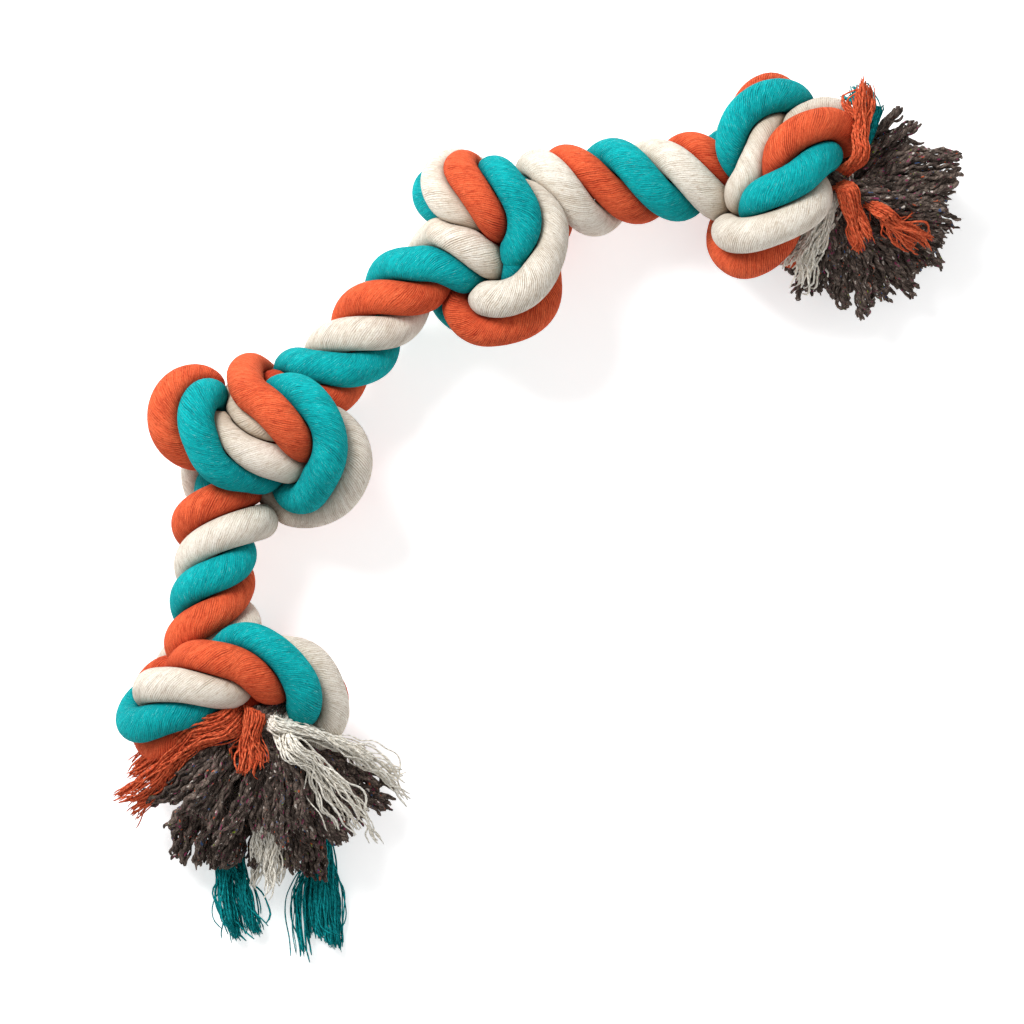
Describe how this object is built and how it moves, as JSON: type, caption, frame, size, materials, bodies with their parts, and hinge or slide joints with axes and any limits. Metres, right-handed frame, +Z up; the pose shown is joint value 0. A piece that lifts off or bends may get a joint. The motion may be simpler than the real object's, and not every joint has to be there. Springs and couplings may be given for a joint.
{
  "type": "rope dog toy",
  "caption": "Thick three-strand cotton rope tied in overhand knots, with a frayed tassel at each end, lying in an open arc.",
  "frame": {"origin": "on the ground, under the centre of the toy's bounding box", "axes": "+Z up, away from the ground the toy lies on; +Y towards the top and +X towards the right of the pictured view from above"},
  "size_m": [0.4478, 0.4615, 0.0905],
  "materials": {
    "orange": "orange cotton yarn, matt, fuzzy",
    "teal": "teal cotton yarn, matt, fuzzy",
    "cream": "undyed cotton yarn, matt, fuzzy",
    "brown": "thick dark recycled yarn with coloured flecks, matt"
  },
  "bodies": {
    "knot_1": {"knot_1_orange": "orange", "knot_1_teal": "teal", "knot_1_cream": "cream", "span_1_orange": "orange", "span_1_teal": "teal", "span_1_cream": "cream", "tassel_1_brown_left": "brown", "tassel_1_brown_middle": "brown", "tassel_1_brown_right": "brown", "tassel_1_brown_far_right": "brown", "tassel_1_brown_side_right": "brown", "tassel_1_brown_low_left": "brown", "tassel_1_brown_low_middle": "brown", "tassel_1_brown_low_right": "brown", "tassel_1_orange_short": "orange", "tassel_1_orange_long": "orange", "tassel_1_cream_right": "cream", "tassel_1_cream_fall": "cream", "tassel_1_cream_low": "cream", "tassel_1_teal_left": "teal", "tassel_1_teal_right": "teal"},
    "knot_2": {"knot_2_orange": "orange", "knot_2_teal": "teal", "knot_2_cream": "cream", "span_2_orange": "orange", "span_2_teal": "teal", "span_2_cream": "cream"},
    "knot_3": {"knot_3_orange": "orange", "knot_3_teal": "teal", "knot_3_cream": "cream", "span_3_orange": "orange", "span_3_teal": "teal", "span_3_cream": "cream"},
    "knot_4": {"knot_4_orange": "orange", "knot_4_teal": "teal", "knot_4_cream": "cream", "tassel_2_brown_top": "brown", "tassel_2_brown_middle": "brown", "tassel_2_brown_front": "brown", "tassel_2_brown_lower": "brown", "tassel_2_brown_side": "brown", "tassel_2_brown_under": "brown", "tassel_2_brown_bottom": "brown", "tassel_2_orange_top": "orange", "tassel_2_orange_front": "orange", "tassel_2_orange_side": "orange", "tassel_2_teal_top": "teal", "tassel_2_cream_lower": "cream"}
  },
  "joints": [
    {"name": "bend_1", "type": "hinge", "parent": "knot_1", "child": "knot_2", "pos_m": [-0.1674, -0.0342, 0.0385], "axis": [0, 0, 1], "range_deg": [-35, 35], "deforming": ["span_1_orange", "span_1_teal", "span_1_cream"]},
    {"name": "bend_2", "type": "hinge", "parent": "knot_2", "child": "knot_3", "pos_m": [-0.0834, 0.1018, 0.0395], "axis": [0, 0, 1], "range_deg": [-35, 35], "deforming": ["span_2_orange", "span_2_teal", "span_2_cream"]},
    {"name": "bend_3", "type": "hinge", "parent": "knot_3", "child": "knot_4", "pos_m": [0.0516, 0.1728, 0.0385], "axis": [0, 0, 1], "range_deg": [-35, 35], "deforming": ["span_3_orange", "span_3_teal", "span_3_cream"]}
  ]
}
